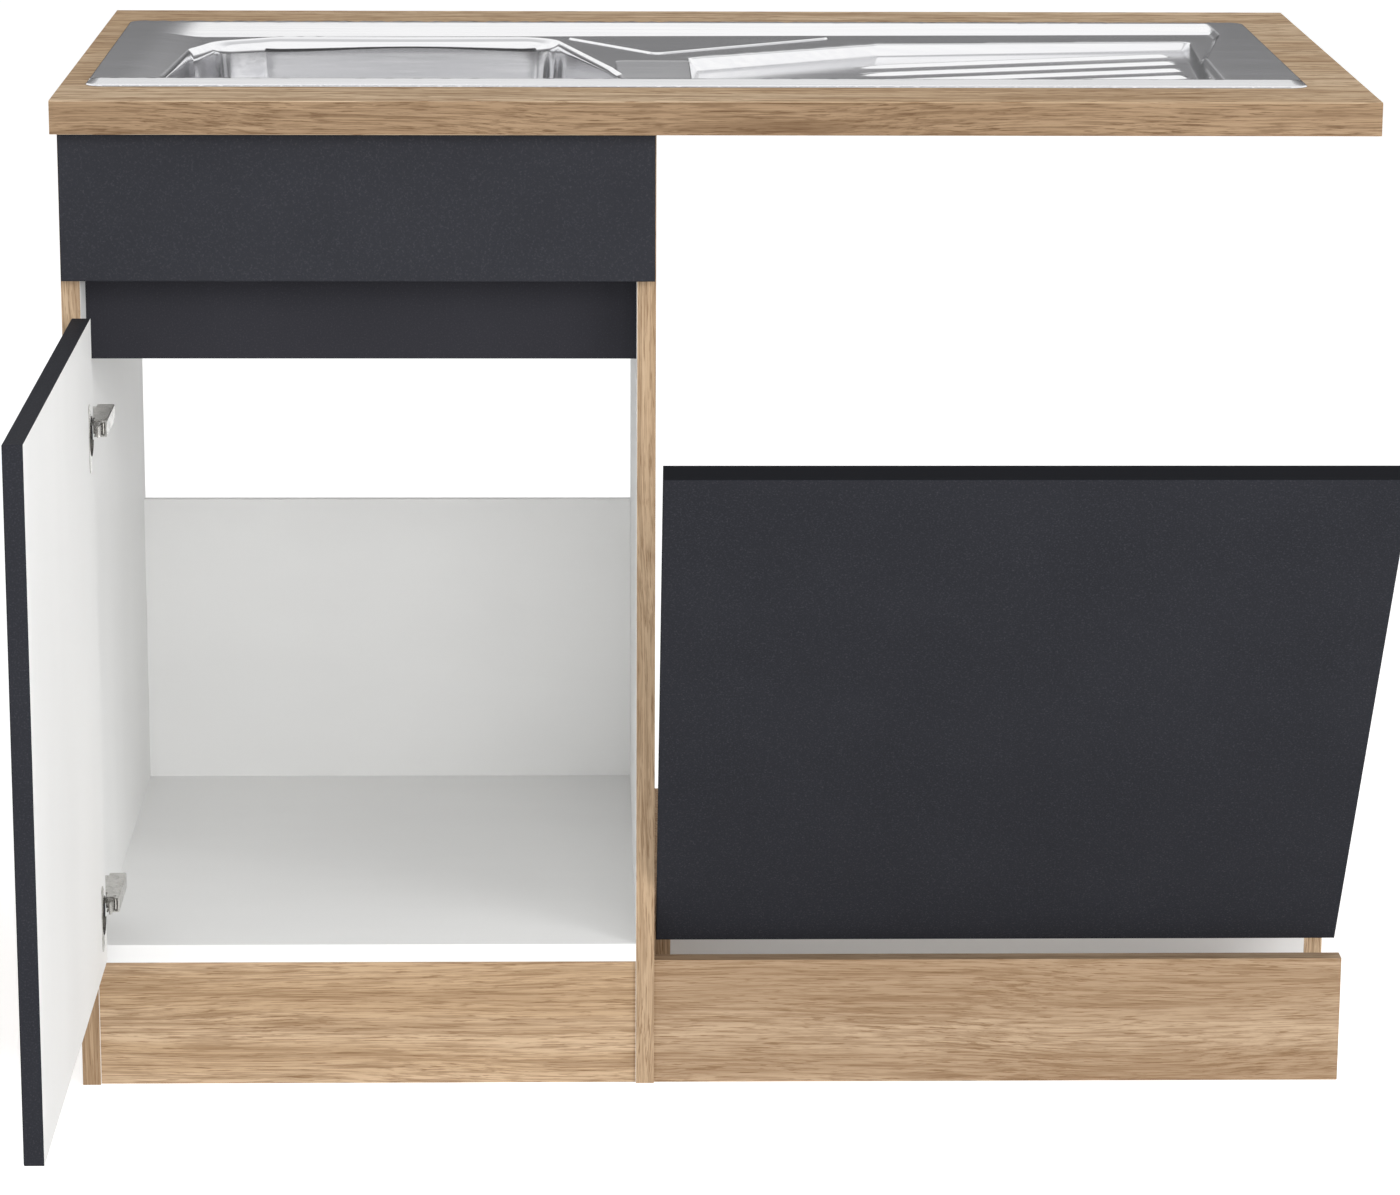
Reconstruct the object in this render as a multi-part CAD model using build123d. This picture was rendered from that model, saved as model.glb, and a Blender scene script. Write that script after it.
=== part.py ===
from build123d import *
import os
from math import atan2, cos, degrees, radians, sin, tan

# A kitchen sink unit: a base cabinet for the sink on the left, an open bay for a
# built-in dishwasher on the right, and one worktop over both. Millimetres, +Z up.
# Places are measured from the worktop's left front corner, on the floor: X to the
# right, Y to the wall. FRAME then sets the origin under the middle of the whole.

# Boards
TOP_W = 1100
TOP_D = 600
TOP_T = 28
CARCASS_H = 840
BOARD_T = 16
CARCASS_X = (2, 500)
CARCASS_Y = (37, 577)
PLINTH_H = 112
PLINTH_Y = 40
RAIL_Y = 79
RAIL_Z = 637
BACK_TOP_Z = 404
BACK_T = 8
GROOVE_D = 8
GROOVE_PLAY = 0.2
REAR_RAIL_H = 100
WALL_HOLE_R = 4
WALL_HOLE_PITCH = 400
ANGLE_LEG = 28
ANGLE_W = 24
STEEL_T = 2
ANGLE_Y = (45, 520)
ANGLE_SCREW_AT = 17
CARCASS_SCREW_R = 2.5
CARCASS_SCREW_L = 40
BOTTOM_SCREW_Y = (60, 300, 540)
PLINTH_SCREW_Z = 56
RAIL_SCREW_Z = (690, 800)
WOOD_SCREW_R = 1.8
WOOD_SCREW_L = 13
TOP_SCREW_L = 16
SCREW_SIDES = 6

# Fronts
FRONT_Y = 20
FIXED_X = (4, 499)
FIXED_Z = (714, 838)
FIXED_BRACKET_Z = (760, 784)
DOOR_W = 496
DOOR_H = 562
DOOR_X = 4
DOOR_Z = 121
DOOR_PIVOT = (7, 15)
PANEL_W = 596
PANEL_X = 502
PANEL_TILT = 31.5
PANEL_PIVOT = (46.2, 209.3)
EDGE_R = 0.8

# Bay under the right half of the worktop
CHEEK_Y = (150, 570)
CHEEK_H = 112
PLINTH_LINK_X = (640, 960)
PLINTH_LINK_W = 30
PLINTH_LINK_Z = (20, 50)
LINK_SCREW_Z = 38
BAY_SCREW_Z = (30, 82)
BRACKET_T = 3
BRACKET_ARM_R = 8.5
BRACKET_POST_Y = (170, 200)
BRACKET_FOOT_Z = 24
BRACKET_SCREW_Z = (42, 92)
BRACKET_SCREW_L = 14
STUD_R = 3
STUD_OUT = 3
HANGER_GAP = 0.4
HANGER_W = 30
HANGER_Z = (176, 262)
HANGER_EAR_R = 9
HANGER_EAR_H = 24
HANGER_SCREW_AT = (18, 12)

# Sink, pressed from one sheet
SHEET_T = 0.8
SINK_X = (21, 1051)
SINK_Y = (83, 513)
SINK_CORNER_R = 14
DECK_RISE = 1.6
CREST_RISE = 3
CREST_Y = (85, 113, 118)
CREST_X = (27, 1045)
CUTOUT_MARGIN = 14
MOUTH_MARGIN = 24
BOWL_OUTLINE = ((78, 122), (472, 122), (472, 205), (415, 402), (78, 402))
BOWL_CORNER_R = 48
BOWL_DEPTH = 150
BOWL_DRAFT = 5
BOWL_FLOOR_R = 28
DRAINER_OUTLINE = ((531, 124), (977, 124), (991, 409), (702, 386), (531, 292))
DRAINER_CORNER_R = 14
DRAINER_X = (520, 970)
DRAINER_DEPTH = (15.5, 11)
DRAINER_DRAFT = 35
SPILLWAY_X = (440, 546)
SPILLWAY_Y = (150, 272)
SPILLWAY_STEP = 0.1
DISH_OUTLINE = ((420, 443), (677, 450), (503, 342))
DISH_CORNER_R = 10
DISH_DEPTH = 4
RIB_COUNT = 5
RIB_PITCH = 44
RIB_ANGLE = 12.5
RIB_W = 26
RIB_H = 4.5
RIB_X = (690, 950)
RIB_FIRST_Y = 188
RIB_NEAR_Y = 152
RIB_TIP = (14, 6)
EDGE_BREAK = 1
MOUTH_BREAK = 2
BREAK_THINNER = 0.47
SEAL_INSET = (3, 10)
SEAL_T = 0.6
CLAMP_FRONT_X = (640, 940)
CLAMP_BACK_X = (140, 420, 700, 980)
CLAMP_W = 16
CLAMP_T = 1.2
CLAMP_SET = 2
CLAMP_FOOT = 12
CLAMP_DROP = 5
CLAMP_SCREW_AT = 6
CLAMP_SCREW_R = 2
CLAMP_SCREW_OUT = 3
CLAMP_HEAD_T = 1.5

# Waste in the bowl's floor
WASTE_AT = (262, 262)
WASTE_RECESS_R = 58
WASTE_HOLE_R = 45
WASTE_RECESS_D = 2.6
FLANGE_T = 1.2
FLANGE_R = 56
CUP_R = 41
CUP_DEPTH = 42
CUP_WALL = 1.5
OUTLET_R = 23.9
OUTLET_WALL = 2
OUTLET_L = 28
GASKET_T = 2
NUT_PLAY = 0.1
NUT_R = 60
NUT_H = 9
NUT_NOTCHES = 8
NUT_NOTCH_R = 3
BASKET_GAP = 0.3
BASKET_DEPTH = 32
BASKET_WALL = 1
BASKET_LIP = 4
KNOB = ((4, 1), (3, 20), (7, 23), (7, 27), (0, 29))
BASKET_HOLES = ((8, 13), (14, 25))
BASKET_HOLE_R = 2

# Concealed hinges of the door
HINGE_Z = (587, 168)
PLATE_Y = 74
CUP_HOLE_R = 17.5
CUP_SET = 21.5
CUP_DEEP = 11.5
CUP_WALL_T = 0.8
CUP_EAR_T = 0.8
CUP_NOTCH_D = 2
CUP_NOTCH_W = 3
CUP_EAR_W = 13
CUP_EAR_L = 58
CUP_EAR_SET = 9.5
CUP_EAR_PITCH = 45
CUP_SCREW_L = 11
PLATE_H = 65
PLATE_SCREW_AT = 22
PLATE_W = 16
PLATE_CORNER_R = 5
SPINE_Y = (52, 94)
SPINE_H = 10.8
ARM_X = (24, 38.5)
ARM_Y = (27.5, 96)
ARM_H = 14
ARM_WALL = 1.2
NOSE_Y = 40
NOSE_X = 27.5
LINK_PIN = (34.5, 30.5)
LINK_TIP = (31.9, 12.8)
LINK_T = 2
LINK_EYE_R = 2.3
LINK_H = 9
PIN_R = 1.2
PIN_PLAY = 0.05
PIN_OUT = 0.4

OVERSHOOT = 10
STAND = (Align.CENTER, Align.CENTER, Align.MIN)
INNER_X = (CARCASS_X[0] + BOARD_T, CARCASS_X[1] - BOARD_T)
TOP_Z = CARCASS_H + TOP_T
DECK_Z = TOP_Z + DECK_RISE
SEAT_Z = DECK_Z - BOWL_DEPTH - WASTE_RECESS_D
BAY_X = (CARCASS_X[1] + BOARD_T, TOP_W - BOARD_T)
OPEN_DOOR_END = DOOR_PIVOT[1] - (DOOR_W + DOOR_X - DOOR_PIVOT[0])
FRAME = Location((-TOP_W / 2, -(TOP_D + OPEN_DOOR_END) / 2, 0))


def block(x, y, z):
    """A box between two limits on each axis."""
    size = [high - low for low, high in (x, y, z)]
    return Pos(x[0], y[0], z[0]) * Box(*size, align=Align.MIN)


def rod(start, direction, radius, length):
    """A round bar that starts at a point and runs along a direction."""
    return Plane(origin=start, z_dir=direction) * Cylinder(radius, length, align=STAND)


def prism(sketch, z_low, z_high):
    """A plan outline raised from one height to another."""
    return extrude(Pos(0, 0, z_low) * sketch, z_high - z_low)


def screw(head_at, direction, radius, length):
    """A countersunk screw; direction runs from the head's flat face into the wood."""
    shape = extrude(RegularPolygon(radius, SCREW_SIDES), length)
    shape += extrude(RegularPolygon(2 * radius, SCREW_SIDES), 0.9 * radius, taper=45)
    return Plane(origin=head_at, z_dir=direction) * shape


def group(solids):
    """Separate solids that share one node."""
    return Compound(children=list(solids))


def save(name, shape):
    """Writes one sub-part, moved into the part's frame."""
    export_step(FRAME * shape, f"parts/{name}.step")


# ---- Carcass -------------------------------------------------------------------


def carcass_screws():
    """Screws through both sides into the ends of the boards between them."""
    half = BOARD_T / 2
    rows = [(y, PLINTH_H + half) for y in BOTTOM_SCREW_Y]
    rows += [(PLINTH_Y + half, PLINTH_SCREW_Z)]
    rows += [(RAIL_Y + half, z) for z in RAIL_SCREW_Z]
    rows += [(CARCASS_Y[1] - half, CARCASS_H - REAR_RAIL_H / 2)]
    shapes = []
    for x, inward in ((CARCASS_X[0], 1), (CARCASS_X[1], -1)):
        for y, z in rows:
            shapes.append(screw((x, y, z), (inward, 0, 0), CARCASS_SCREW_R, CARCASS_SCREW_L))
    return shapes


def plate_screws():
    """Two screws through the wings of each hinge plate into the left side."""
    x = INNER_X[0] + STEEL_T
    places = [(x, PLATE_Y, z + side * PLATE_SCREW_AT) for z in HINGE_Z for side in (-1, 1)]
    return [screw(place, (-1, 0, 0), WOOD_SCREW_R, WOOD_SCREW_L) for place in places]


def groove(x, z):
    """Room for one edge of the back panel."""
    y = (CARCASS_Y[1] - 2 * BACK_T - GROOVE_PLAY, CARCASS_Y[1] - BACK_T)
    return block(x, y, z)


def side_panel(x, groove_x, tools):
    """A side that stands on the floor, with the groove that holds the back."""
    slot = groove(groove_x, (PLINTH_H + BOARD_T - GROOVE_D, BACK_TOP_Z + GROOVE_PLAY))
    return block(x, CARCASS_Y, (0, CARCASS_H)) - [slot] - tools


def left_side_panel(tools):
    """The side that carries the door."""
    depth = (INNER_X[0] - GROOVE_D, INNER_X[0])
    return side_panel((CARCASS_X[0], INNER_X[0]), depth, tools)


def right_side_panel(tools):
    """The side between the cabinet and the bay."""
    depth = (INNER_X[1], INNER_X[1] + GROOVE_D)
    return side_panel((INNER_X[1], CARCASS_X[1]), depth, tools)


def bottom_panel(tools):
    """The cabinet's floor, grooved along its back for the back panel."""
    board = block(INNER_X, CARCASS_Y, (PLINTH_H, PLINTH_H + BOARD_T))
    slot = groove(INNER_X, (PLINTH_H + BOARD_T - GROOVE_D, PLINTH_H + BOARD_T))
    return board - [slot] - tools


def back_panel():
    """A low back in the grooves; the space above it is left open for the pipes."""
    reach = GROOVE_D - GROOVE_PLAY
    x = (INNER_X[0] - reach, INNER_X[1] + reach)
    y = (CARCASS_Y[1] - 2 * BACK_T, CARCASS_Y[1] - BACK_T)
    return block(x, y, (PLINTH_H + BOARD_T - reach, BACK_TOP_Z))


def front_rail(tools):
    """Upright rail set back behind the fronts: the finger space lies before it."""
    return block(INNER_X, (RAIL_Y, RAIL_Y + BOARD_T), (RAIL_Z, CARCASS_H)) - tools


def rear_rail(tools):
    """Upright rail at the wall, bored for two wall screws."""
    y = CARCASS_Y[1] - BOARD_T
    board = block(INNER_X, (y, CARCASS_Y[1]), (CARCASS_H - REAR_RAIL_H, CARCASS_H))
    middle = sum(INNER_X) / 2
    z = CARCASS_H - REAR_RAIL_H / 2
    for side in (-1, 1):
        start = (middle + side * WALL_HOLE_PITCH / 2, y - 1, z)
        board -= rod(start, (0, 1, 0), WALL_HOLE_R, BOARD_T + 2)
    return board - tools


def cabinet_plinth(tools):
    """The board that closes the cabinet's foot, a little behind its sides."""
    return block(INNER_X, (PLINTH_Y, PLINTH_Y + BOARD_T), (0, PLINTH_H)) - tools


def angle(corner, sign, along):
    """A steel angle in an upper corner: one leg under the top, one down the side."""
    x, y, z = corner
    tall = sorted((x, x + sign * STEEL_T))
    flat = sorted((x, x + sign * ANGLE_LEG))
    shape = block(flat, (y, y + along), (z - STEEL_T, z))
    shape += block(tall, (y, y + along), (z - ANGLE_LEG, z))
    return shape


def angle_screws(corner, sign, along):
    """One screw up into the top and one into the side."""
    x, y, z = corner
    middle = y + along / 2
    up_at = (x + sign * ANGLE_SCREW_AT, middle, z - STEEL_T)
    out_at = (x + sign * STEEL_T, middle, z - ANGLE_SCREW_AT)
    up = screw(up_at, (0, 0, 1), WOOD_SCREW_R, TOP_SCREW_L)
    return [up, screw(out_at, (-sign, 0, 0), WOOD_SCREW_R, WOOD_SCREW_L)]


def angle_corners():
    """Where the four angles under the worktop sit, and which way each one faces."""
    left = [((INNER_X[0], y, CARCASS_H), 1) for y in ANGLE_Y]
    return left + [((INNER_X[1], y, CARCASS_H), -1) for y in ANGLE_Y]


def worktop_screws():
    """Two screws for each of the four angles."""
    pairs = [angle_screws(corner, sign, ANGLE_W) for corner, sign in angle_corners()]
    return [one for pair in pairs for one in pair]


def worktop_angles(tools):
    """Four steel angles that hold the worktop down on the carcass."""
    return [angle(corner, sign, ANGLE_W) - tools for corner, sign in angle_corners()]


def worktop(tools):
    """The worktop, cut out for the sink."""
    board = block((0, TOP_W), (0, TOP_D), (CARCASS_H, TOP_Z))
    board = chamfer(board.edges().filter_by(Axis.X).group_by(Axis.Y)[0], EDGE_R)
    cutout = prism(sink_outline(CUTOUT_MARGIN), CARCASS_H - 1, TOP_Z + 1)
    return board - cutout - tools


# ---- Fixed front, door and its hinges ------------------------------------------


def front_board(x, z):
    """A front with softened edges, where it stands when shut."""
    board = block(x, (FRONT_Y, FRONT_Y + BOARD_T), z)
    return chamfer(board.faces().sort_by(Axis.Y)[0].edges(), EDGE_R)


def fixed_brackets():
    """Two steel angles behind the fixed front, one on each side panel."""
    y = FRONT_Y + BOARD_T
    shapes = []
    for x, sign in ((INNER_X[0], 1), (INNER_X[1], -1)):
        flat = sorted((x, x + sign * ANGLE_LEG))
        deep = sorted((x, x + sign * STEEL_T))
        shape = block(flat, (y, y + STEEL_T), FIXED_BRACKET_Z)
        shape += block(deep, (y, y + ANGLE_LEG + STEEL_T), FIXED_BRACKET_Z)
        shapes.append(shape)
    return shapes


def fixed_screws():
    """Two screws for each of those angles."""
    y = FRONT_Y + BOARD_T + STEEL_T
    z = sum(FIXED_BRACKET_Z) / 2
    shapes = []
    for x, sign in ((INNER_X[0], 1), (INNER_X[1], -1)):
        front_at = (x + sign * ANGLE_SCREW_AT, y, z)
        side_at = (x + sign * STEEL_T, y + ANGLE_SCREW_AT, z)
        shapes.append(screw(front_at, (0, -1, 0), WOOD_SCREW_R, WOOD_SCREW_L))
        shapes.append(screw(side_at, (-sign, 0, 0), WOOD_SCREW_R, WOOD_SCREW_L))
    return shapes


def swung(shape):
    """A piece of the shut door, carried round to where the door stands open."""
    return shape.rotate(Axis((*DOOR_PIVOT, 0), (0, 0, 1)), -90)


def cup_screws():
    """Two screws through the ears of each hinge cup, on the shut door."""
    y = FRONT_Y + BOARD_T + CUP_EAR_T
    x = DOOR_X + CUP_SET + CUP_EAR_SET
    places = [(x, y, z + side * CUP_EAR_PITCH / 2) for z in HINGE_Z for side in (-1, 1)]
    return [screw(place, (0, -1, 0), WOOD_SCREW_R, CUP_SCREW_L) for place in places]


def door(tools):
    """The door, bored for its hinge cups."""
    board = front_board((DOOR_X, DOOR_X + DOOR_W), (DOOR_Z, DOOR_Z + DOOR_H))
    y = FRONT_Y + BOARD_T - CUP_DEEP
    bores = [rod((DOOR_X + CUP_SET, y, z), (0, 1, 0), CUP_HOLE_R, BOARD_T) for z in HINGE_Z]
    return swung(board - bores - tools)


def hinge_cup(z, tools):
    """A pressed steel cup let into the door, with two ears on the door's face."""
    face = FRONT_Y + BOARD_T
    centre = (DOOR_X + CUP_SET, face - CUP_DEEP, z)
    inner = CUP_HOLE_R - CUP_WALL_T
    shape = rod(centre, (0, 1, 0), CUP_HOLE_R, CUP_DEEP + CUP_EAR_T)
    ears = Box(CUP_EAR_W, CUP_EAR_T, CUP_EAR_L)
    ears = fillet(ears.edges().filter_by(Axis.Y), CUP_EAR_W / 2 - 1)
    shape += Pos(centre[0] + CUP_EAR_SET, face + CUP_EAR_T / 2, z) * ears
    shape -= rod((centre[0], centre[1] + CUP_WALL_T, z), (0, 1, 0), inner, CUP_HOLE_R)
    notch = Box(CUP_NOTCH_W, 2 * CUP_NOTCH_D, LINK_H + CUP_NOTCH_W)
    shape -= Pos(centre[0] - inner, face + CUP_EAR_T, z) * notch
    return swung(shape - tools)


def hinge_plate(z, tools):
    """The winged plate on the side panel that the arm is clipped to."""
    x = INNER_X[0]
    wing = Box(STEEL_T, PLATE_W, PLATE_H)
    wing = fillet(wing.edges().filter_by(Axis.X), PLATE_CORNER_R)
    spine = block((x, ARM_X[0] + 1), SPINE_Y, (z - SPINE_H / 2, z + SPINE_H / 2))
    return Pos(x + STEEL_T / 2, PLATE_Y, z) * wing + spine - tools


def hinge_arm(z):
    """The arm, a channel over the plate's spine whose nose reaches into the cup."""
    low, high = z - ARM_H / 2, z + ARM_H / 2
    shape = block(ARM_X, ARM_Y, (low, high))
    shape = chamfer(shape.edges().filter_by(Axis.Y).sort_by(Axis.X)[-2:], EDGE_R)
    hollow = (low + ARM_WALL, high - ARM_WALL)
    shape -= block((0, ARM_X[1] - ARM_WALL), (0, ARM_Y[1] + 1), hollow)
    shape -= block((0, NOSE_X), (0, NOSE_Y), (low - 1, high + 1))
    return shape - rod((*LINK_PIN, low - 1), (0, 0, 1), PIN_R, ARM_H + 2)


def hinge_pins():
    """One pin through the nose of each arm."""
    length = ARM_H + 2 * PIN_OUT
    return [rod((*LINK_PIN, z - length / 2), (0, 0, 1), PIN_R, length) for z in HINGE_Z]


def hinge_link(z):
    """The link between the arm's pin and the cup's mouth."""
    reach = Vector(*LINK_TIP) - Vector(*LINK_PIN)
    low = z - LINK_H / 2
    shape = rod((*LINK_PIN, low), (0, 0, 1), LINK_EYE_R, LINK_H)
    bar = Pos(0, -LINK_T / 2, 0) * Box(reach.length, LINK_T, LINK_H, align=Align.MIN)
    bar = fillet(bar.edges().filter_by(Axis.Z).sort_by(Axis.X)[-2:], LINK_T * 0.45)
    turn = degrees(atan2(reach.Y, reach.X))
    shape += Location((*LINK_PIN, low), (0, 0, turn)) * bar
    return shape - rod((*LINK_PIN, low - 1), (0, 0, 1), PIN_R + PIN_PLAY, LINK_H + 2)


# ---- Sink ----------------------------------------------------------------------


def rounded(points, radius):
    """A closed plan outline with every corner rounded."""
    face = make_face(Polyline(*points, close=True))
    return fillet(face.vertices(), radius)


def sink_outline(inset):
    """The sheet's outer edge, drawn in by a margin."""
    width = SINK_X[1] - SINK_X[0] - 2 * inset
    depth = SINK_Y[1] - SINK_Y[0] - 2 * inset
    radius = max(SINK_CORNER_R - inset, 2)
    return Pos(sum(SINK_X) / 2, sum(SINK_Y) / 2) * RectangleRounded(width, depth, radius)


def bowl(grow):
    """The bowl, with walls that lean in towards its rounded floor."""
    mouth = offset(rounded(BOWL_OUTLINE, BOWL_CORNER_R), grow)
    spread = OVERSHOOT * sin(radians(BOWL_DRAFT))
    flared = Pos(0, 0, DECK_Z + OVERSHOOT) * offset(mouth, spread)
    shape = extrude(flared, -OVERSHOOT - BOWL_DEPTH - grow, taper=BOWL_DRAFT)
    shape = fillet(shape.edges().group_by(Axis.Z)[0], BOWL_FLOOR_R + grow)
    recess_z = SEAT_Z - grow
    return shape + rod((*WASTE_AT, recess_z), (0, 0, 1), WASTE_RECESS_R + grow, BOWL_FLOOR_R)


def drainer(grow):
    """The drainer: sloping walls down to a floor that falls towards the spillway."""
    left, right = DRAINER_DEPTH
    slope = tan(radians(DRAINER_DRAFT))
    edge = offset(rounded(DRAINER_OUTLINE, DRAINER_CORNER_R), grow / cos(radians(DRAINER_DRAFT)))
    flared = Pos(0, 0, DECK_Z + OVERSHOOT) * offset(edge, OVERSHOOT * slope)
    shape = extrude(flared, -OVERSHOOT - left - 1, taper=DRAINER_DRAFT)
    tilt = degrees(atan2(left - right, DRAINER_X[1] - DRAINER_X[0]))
    floor_plane = Location((DRAINER_X[0], 0, DECK_Z - left - grow), (0, -tilt, 0))
    return shape & floor_plane * Pos(-TOP_D, 0, 0) * Box(2 * TOP_W, TOP_D, TOP_D, align=Align.MIN)


def pockets(grow):
    """Everything pressed down into the deck, drawn larger by grow on every side."""
    spill_z = DECK_Z - DRAINER_DEPTH[0] - SPILLWAY_STEP - grow
    y = (SPILLWAY_Y[0] - grow, SPILLWAY_Y[1] + grow)
    spillway = block(SPILLWAY_X, y, (spill_z, DECK_Z + OVERSHOOT))
    dish = offset(rounded(DISH_OUTLINE, DISH_CORNER_R), grow)
    dish = prism(dish, DECK_Z - DISH_DEPTH - grow, DECK_Z + OVERSHOOT)
    return bowl(grow) + drainer(grow) + spillway + dish


def tipped_bar(radius, length):
    """A round bar with tapered tips beyond both ends of its length."""
    reach, drop = RIB_TIP
    tip = radius - drop
    side = [(tip, -reach), (radius, 0), (radius, length), (tip, length + reach)]
    outline = [(0, -reach)] + side + [(0, length + reach)]
    return revolve(make_face(Polyline(*[(r, 0, z) for r, z in outline], close=True)), Axis.Z)


def ribs(shrink):
    """Parallel rounded ridges on the drainer's floor, laid along its fall."""
    radius = (RIB_W ** 2 / 4 + RIB_H ** 2) / (2 * RIB_H)
    left, right = DRAINER_DEPTH
    fall = (left - right) / (DRAINER_X[1] - DRAINER_X[0])
    along = cos(radians(RIB_ANGLE)), sin(radians(RIB_ANGLE))
    direction = (along[0], along[1], fall * along[0])
    shapes = []
    for index in range(RIB_COUNT):
        x, y = RIB_X[1], RIB_FIRST_Y + index * RIB_PITCH
        length = min((x - RIB_X[0]) / along[0], (y - RIB_NEAR_Y) / along[1])
        x, y = x - length * along[0], y - length * along[1]
        low = DECK_Z - left + fall * (x - DRAINER_X[0]) - radius + RIB_H
        bar = tipped_bar(radius - shrink, length)
        shapes.append(Plane(origin=(x, y, low), z_dir=direction) * bar)
    return shapes


def mouth_edges(body, z):
    """Where the pockets break through the deck at one height."""
    edges = body.edges().filter_by_position(Axis.Z, z - 0.01, z + 0.01)
    x = (SINK_X[0] + MOUTH_MARGIN, SINK_X[1] - MOUTH_MARGIN)
    edges = edges.filter_by_position(Axis.X, *x)
    return edges.filter_by_position(Axis.Y, CREST_Y[2] + 1, SINK_Y[1] - MOUTH_MARGIN)


def crest(lower):
    """The front strip of the rim, which rises to a line before the bowl."""
    front, top, back = CREST_Y
    low = DECK_Z - lower
    outline = [(front, low - SHEET_T), (front, low), (top, TOP_Z + CREST_RISE - lower)]
    outline += [(back, low), (back, low - SHEET_T)]
    side = make_face(Polyline(*[(0, y, z) for y, z in outline], close=True))
    length = CREST_X[1] - CREST_X[0] - 2 * lower
    return Pos(CREST_X[0] + lower, 0, 0) * extrude(side, length, dir=(1, 0, 0))


def sink_block(lower):
    """The solid under one face of the sheet: its upper face at 0, its lower at SHEET_T."""
    thinner = BREAK_THINNER if lower else 0
    deep = BOWL_DEPTH + BOWL_FLOOR_R
    body = prism(sink_outline(lower), TOP_Z - (2 * deep if lower else 0), DECK_Z - lower)
    body = chamfer(body.faces().sort_by(Axis.Z)[-1].edges(), EDGE_BREAK - thinner)
    if not lower:
        body += prism(sink_outline(CUTOUT_MARGIN), TOP_Z - deep, TOP_Z)
    body += crest(lower)
    body -= pockets(lower)
    body = chamfer(mouth_edges(body, DECK_Z - lower), MOUTH_BREAK - thinner)
    for rib in ribs(lower):
        body += rib
    return body


def sink_top():
    """Rim, deck, bowl, spillway and ribbed drainer, all from one sheet."""
    sheet = sink_block(0) - sink_block(SHEET_T)
    bore = rod((*WASTE_AT, SEAT_Z - BOWL_FLOOR_R), (0, 0, 1), WASTE_HOLE_R, 2 * BOWL_FLOOR_R)
    return sheet - bore


def sink_seal():
    """A foam strip pressed flat in the hollow under the rim."""
    near, far = SEAL_INSET
    return prism(sink_outline(near) - sink_outline(far), TOP_Z, TOP_Z + SEAL_T)


def clamp_places():
    """Where the clamps grip the edge of the cut-out, and which way each one faces."""
    x = (SINK_X[0] + CUTOUT_MARGIN, SINK_X[1] - CUTOUT_MARGIN)
    y = (SINK_Y[0] + CUTOUT_MARGIN, SINK_Y[1] - CUTOUT_MARGIN)
    places = [Location((at, y[0], 0)) for at in CLAMP_FRONT_X]
    places += [Location((at, y[1], 0), (0, 0, 180)) for at in CLAMP_BACK_X]
    middle = sum(SINK_Y) / 2
    places += [Location((x[0], middle, 0), (0, 0, -90)), Location((x[1], middle, 0), (0, 0, 90))]
    return places


def sink_clamps():
    """Bent strips that hang from the deck and hook under the worktop."""
    low = CARCASS_H - CLAMP_DROP
    x = (-CLAMP_W / 2, CLAMP_W / 2)
    y = (CLAMP_SET, CLAMP_SET + CLAMP_T)
    foot = block(x, (-CLAMP_FOOT, y[1]), (low, low + CLAMP_T))
    bore = extrude(RegularPolygon(CLAMP_SCREW_R, SCREW_SIDES), 2 * CLAMP_T)
    foot -= Pos(0, -CLAMP_SCREW_AT, low - CLAMP_T / 2) * bore
    slope = (CREST_RISE - DECK_RISE) / (CREST_Y[1] - CREST_Y[0])
    shapes = []
    for place in clamp_places():
        reach = place.position.Y + CLAMP_SET - CREST_Y[0]
        rise = slope * reach if place.position.Y < CREST_Y[1] else 0
        strap = block(x, y, (low, DECK_Z + rise - SHEET_T))
        shapes.append(place * (strap + foot))
    return shapes


def clamp_screws():
    """A screw through each clamp's foot, tightened against the worktop."""
    low = CARCASS_H - CLAMP_DROP - CLAMP_SCREW_OUT
    shank = extrude(RegularPolygon(CLAMP_SCREW_R, SCREW_SIDES), CARCASS_H - low)
    head = extrude(RegularPolygon(2 * CLAMP_SCREW_R, SCREW_SIDES), CLAMP_HEAD_T)
    shape = shank + Pos(0, 0, -CLAMP_HEAD_T) * head
    return [place * Pos(0, -CLAMP_SCREW_AT, low) * shape for place in clamp_places()]


# ---- Waste ---------------------------------------------------------------------


def turned(points):
    """A solid turned about the waste's upright axis from (radius, height) points."""
    profile = make_face(Polyline(*[(r, 0, z) for r, z in points], close=True))
    return Pos(*WASTE_AT, 0) * revolve(profile, Axis.Z)


def waste_cup():
    """The flange in the bowl's floor, the cup under it and the outlet below."""
    top = SEAT_Z + FLANGE_T
    low = SEAT_Z - CUP_DEPTH
    end = low - OUTLET_L
    bore = OUTLET_R - OUTLET_WALL
    outline = [(CUP_R, top), (FLANGE_R, top), (FLANGE_R, SEAT_Z)]
    outline += [(CUP_R + CUP_WALL, SEAT_Z), (CUP_R + CUP_WALL, low), (OUTLET_R, low)]
    outline += [(OUTLET_R, end), (bore, end), (bore, low + CUP_WALL), (CUP_R, low + CUP_WALL)]
    return turned(outline)


def waste_gasket():
    """A rubber ring between the bowl and the nut."""
    high = SEAT_Z - SHEET_T
    low = high - GASKET_T
    inner = CUP_R + CUP_WALL + NUT_PLAY
    return turned([(inner, high), (FLANGE_R, high), (FLANGE_R, low), (inner, low)])


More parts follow.
